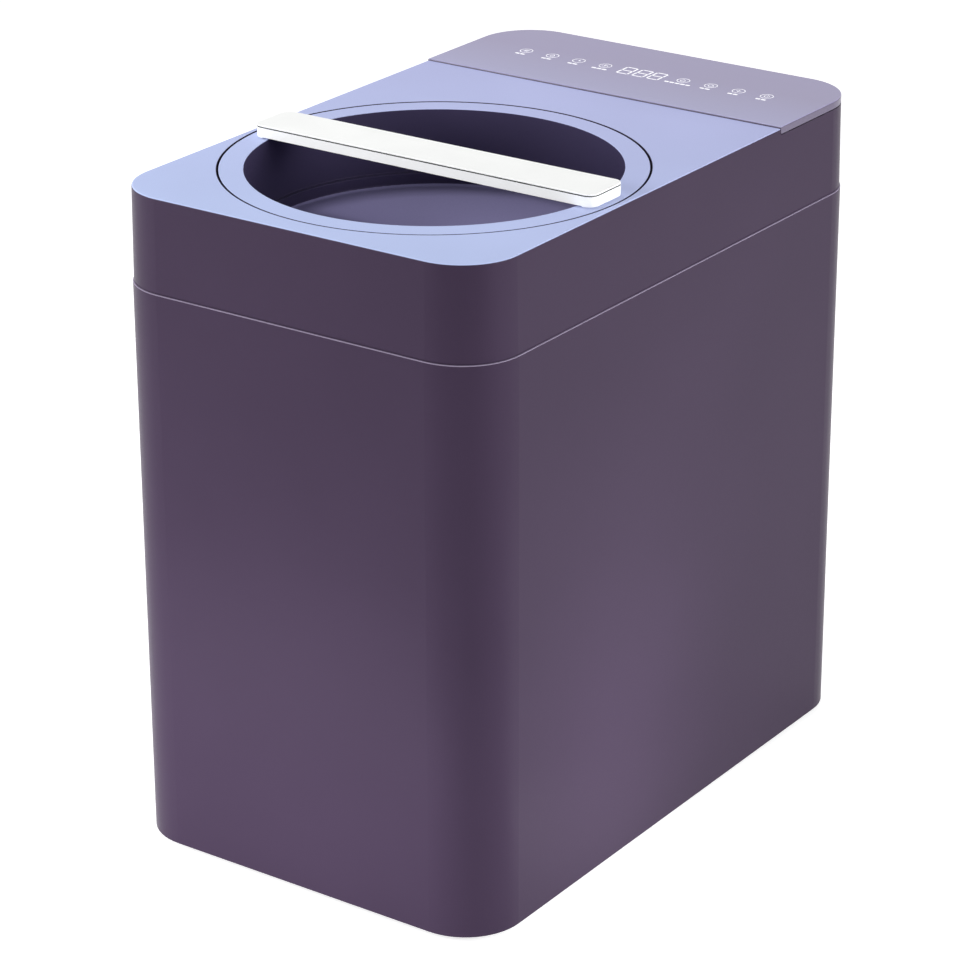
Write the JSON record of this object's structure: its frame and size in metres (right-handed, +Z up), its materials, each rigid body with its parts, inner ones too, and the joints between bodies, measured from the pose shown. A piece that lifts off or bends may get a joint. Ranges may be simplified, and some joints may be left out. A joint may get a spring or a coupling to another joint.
{
  "type": "electric food waste composter",
  "caption": "Tall rounded box composter: lift-out dish lid with a white cross bar, lift-out bucket with geared agitator, touch panel at the back, rear filter drawer.",
  "frame": {"origin": "on the floor, under the middle of the body", "axes": "+Z up; the front faces -Y, the control panel is along the back (+Y); +X is the right side seen from the front"},
  "size_m": [0.2524, 0.4, 0.4076],
  "materials": {
    "housing_paint": "satin metallic aubergine paint over moulded plastic",
    "lid_paint": "satin pale lavender-blue on the ring, aubergine inside",
    "dark_plastic": "fine-textured moulded plastic",
    "light_plastic": "natural moulded plastic",
    "rubber": "matt black rubber",
    "silicone": "grey silicone",
    "screw_steel": "zinc plated",
    "sheet_steel": "brushed sheet steel",
    "agitator_steel": "bead-blasted stainless steel",
    "gear_steel": "machined steel, oiled",
    "cast_aluminium": "cast aluminium, fine grain",
    "motor_can": "dark enamel",
    "brass": "turned",
    "felt": "needle felt",
    "carbon": "black activated carbon mat",
    "circuit_board": "green solder resist",
    "panel_gloss": "smooth mauve grey touch panel with white marks",
    "handle_white": "smooth white"
  },
  "bodies": {
    "housing": {"base_plate": "dark_plastic", "base_screws": "screw_steel", "blower_cover": "dark_plastic", "blower_housing": "dark_plastic", "board_standoffs": "brass", "chassis_plate": "sheet_steel", "chassis_posts": "gear_steel", "chassis_screws": "screw_steel", "control_panel": "panel_gloss", "display_module": "dark_plastic", "exhaust_duct": "light_plastic", "fan_motor": "motor_can", "felt_sleeve": "felt", "filter_case": "dark_plastic", "gear_case": "cast_aluminium", "gear_case_screws": "screw_steel", "gear_motor": "motor_can", "heater_plate": "cast_aluminium", "heating_element": "sheet_steel", "idler_pin": "gear_steel", "inlet_pins": "brass", "insulation_disc": "felt", "lid_sensor": "dark_plastic", "lower_housing": "housing_paint", "output_bearings": "brass", "power_board": "circuit_board", "power_inlet": "dark_plastic", "rubber_feet": "rubber", "temperature_sensor": "sheet_steel", "touch_board": "circuit_board", "touch_springs": "brass", "upper_housing": "housing_paint", "well_liner": "sheet_steel"},
    "drive": {"output_shaft": "gear_steel", "output_gear": "gear_steel", "drive_dog": "gear_steel"},
    "idler": {"idler_gear": "gear_steel"},
    "motor_drive": {"motor_pinion": "gear_steel", "motor_shaft": "gear_steel"},
    "bucket": {"bucket": "cast_aluminium", "bucket_bush": "brass", "shaft_seal": "silicone"},
    "agitator": {"agitator": "agitator_steel", "agitator_shaft": "agitator_steel", "drive_coupler": "gear_steel"},
    "lid": {"lid_dish": "lid_paint", "lid_seal": "silicone", "handle_bar": "handle_white", "handle_cap": "handle_white", "handle_screws": "screw_steel", "lid_magnet": "screw_steel"},
    "fan": {"impeller": "light_plastic"},
    "filter_drawer": {"filter_cover": "housing_paint", "filter_tray": "dark_plastic", "filter_cartridge": "light_plastic", "carbon_filter": "carbon"}
  },
  "joints": [
    {"name": "bucket_lift", "type": "slide", "parent": "housing", "child": "bucket", "axis": [0, 0, 1], "range_m": [0, 0.28]},
    {"name": "lid_lift", "type": "slide", "parent": "bucket", "child": "lid", "axis": [0, 0, 1], "range_m": [0, 0.12]},
    {"name": "drive_spin", "type": "hinge", "parent": "housing", "child": "drive", "pos_m": [0, -0.06375, 0.096], "axis": [0, 0, 1], "continuous": true},
    {"name": "agitator_spin", "type": "hinge", "parent": "bucket", "child": "agitator", "pos_m": [0, -0.06375, 0.15], "axis": [0, 0, 1], "continuous": true},
    {"name": "idler_spin", "type": "hinge", "parent": "housing", "child": "idler", "pos_m": [0, 0.01125, 0.09], "axis": [0, 0, 1], "continuous": true},
    {"name": "motor_spin", "type": "hinge", "parent": "housing", "child": "motor_drive", "pos_m": [0, 0.07125, 0.08], "axis": [0, 0, 1], "continuous": true},
    {"name": "fan_spin", "type": "hinge", "parent": "housing", "child": "fan", "pos_m": [0, 0.13, 0.267], "axis": [1, 0, 0], "continuous": true},
    {"name": "filter_slide", "type": "slide", "parent": "housing", "child": "filter_drawer", "axis": [0, 1, 0], "range_m": [0, 0.115]}
  ],
  "couplings": [
    {"joint": "agitator_spin", "follows": "drive_spin", "ratio": 1},
    {"joint": "idler_spin", "follows": "drive_spin", "ratio": -2.75},
    {"joint": "motor_spin", "follows": "drive_spin", "ratio": 8.25}
  ]
}
